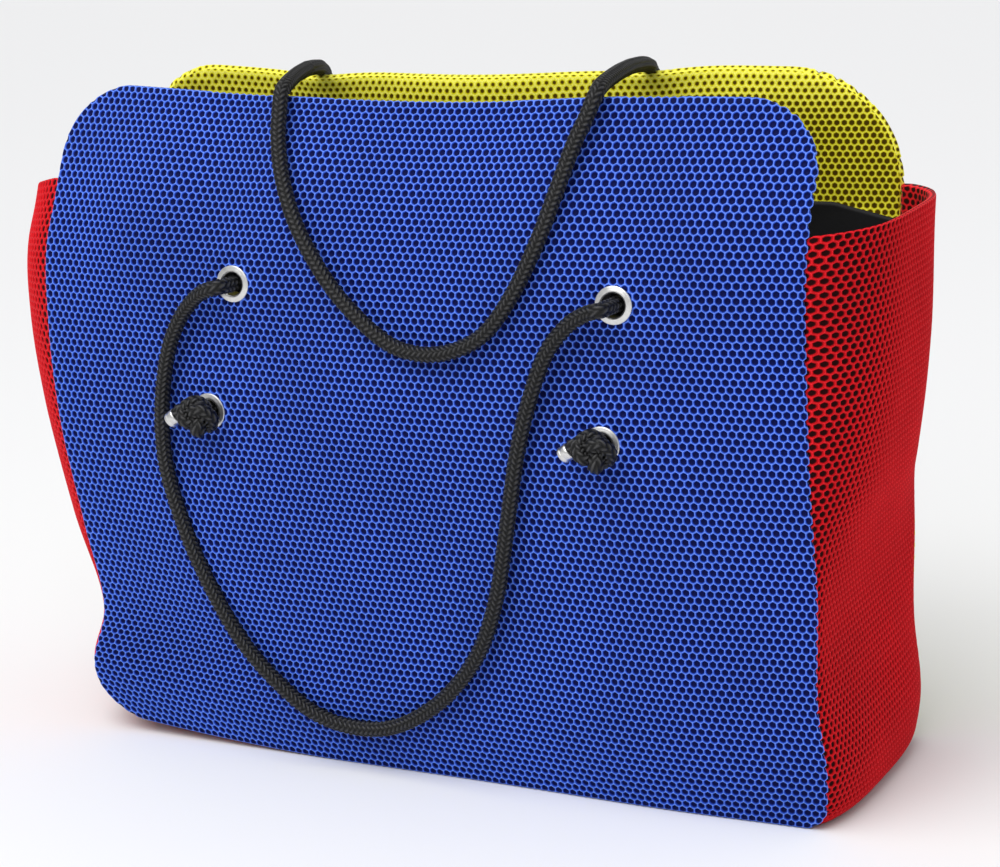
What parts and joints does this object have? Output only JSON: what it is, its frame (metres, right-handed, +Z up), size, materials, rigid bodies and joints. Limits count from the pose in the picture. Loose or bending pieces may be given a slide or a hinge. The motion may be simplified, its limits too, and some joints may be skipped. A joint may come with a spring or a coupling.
{
  "type": "mesh tote bag",
  "caption": "Open-top tote bag of honeycomb spacer mesh with a gusset band, loose lining, metal eyelets and two knotted rope handles.",
  "frame": {"origin": "on the floor, under the middle of the bag's bounding box without its ropes", "axes": "+X along the width to the viewer's right, -Y towards the front panel, +Z up"},
  "size_m": [0.5178, 0.2189, 0.3834],
  "materials": {
    "blue_mesh": "honeycomb spacer mesh, matte yarn",
    "yellow_mesh": "honeycomb spacer mesh, matte yarn",
    "red_mesh": "honeycomb spacer mesh, matte yarn",
    "lining_cloth": "smooth woven lining",
    "black_rope": "braided cord",
    "nickel": "satin nickel plate"
  },
  "bodies": {
    "bag": {"front_panel": "blue_mesh", "back_panel": "yellow_mesh", "side_and_base_band": "red_mesh", "front_lining": "lining_cloth", "back_lining": "lining_cloth", "side_and_base_lining": "lining_cloth", "front_upper_left_eyelet": "nickel", "front_upper_left_washer": "nickel", "front_upper_right_eyelet": "nickel", "front_upper_right_washer": "nickel", "front_lower_left_eyelet": "nickel", "front_lower_left_washer": "nickel", "front_lower_right_eyelet": "nickel", "front_lower_right_washer": "nickel", "front_left_rope_end": "black_rope", "front_left_knot": "black_rope", "front_left_ferrule": "nickel", "front_right_rope_end": "black_rope", "front_right_knot": "black_rope", "front_right_ferrule": "nickel", "back_upper_left_eyelet": "nickel", "back_upper_left_washer": "nickel", "back_upper_right_eyelet": "nickel", "back_upper_right_washer": "nickel", "back_lower_left_eyelet": "nickel", "back_lower_left_washer": "nickel", "back_lower_right_eyelet": "nickel", "back_lower_right_washer": "nickel", "back_left_rope_end": "black_rope", "back_left_knot": "black_rope", "back_left_ferrule": "nickel", "back_right_rope_end": "black_rope", "back_right_knot": "black_rope", "back_right_ferrule": "nickel", "rear_handle_riser_left": "black_rope", "rear_handle_riser_right": "black_rope"},
    "front_handle": {"front_handle": "black_rope"},
    "rear_handle_bridges": {"rear_handle_bridge_left": "black_rope", "rear_handle_bridge_right": "black_rope"},
    "rear_handle_drape": {"rear_handle_drape": "black_rope"}
  },
  "joints": [
    {"name": "front_handle_swing", "type": "hinge", "parent": "bag", "child": "front_handle", "pos_m": [0.02, -0.0985, 0.269], "axis": [-1, 0, 0], "range_deg": [0, 170]},
    {"name": "rear_handle_lift", "type": "hinge", "parent": "bag", "child": "rear_handle_bridges", "pos_m": [-0.0905, 0.0262, 0.3716], "axis": [-0.9898, -0.1422, -0.0085], "range_deg": [0, 90]},
    {"name": "rear_handle_unfold", "type": "hinge", "parent": "rear_handle_bridges", "child": "rear_handle_drape", "pos_m": [0.027, -0.067, 0.3691], "axis": [-1, 0, 0], "range_deg": [0, 90]}
  ],
  "couplings": [
    {"joint": "rear_handle_unfold", "follows": "rear_handle_lift", "ratio": 1}
  ]
}
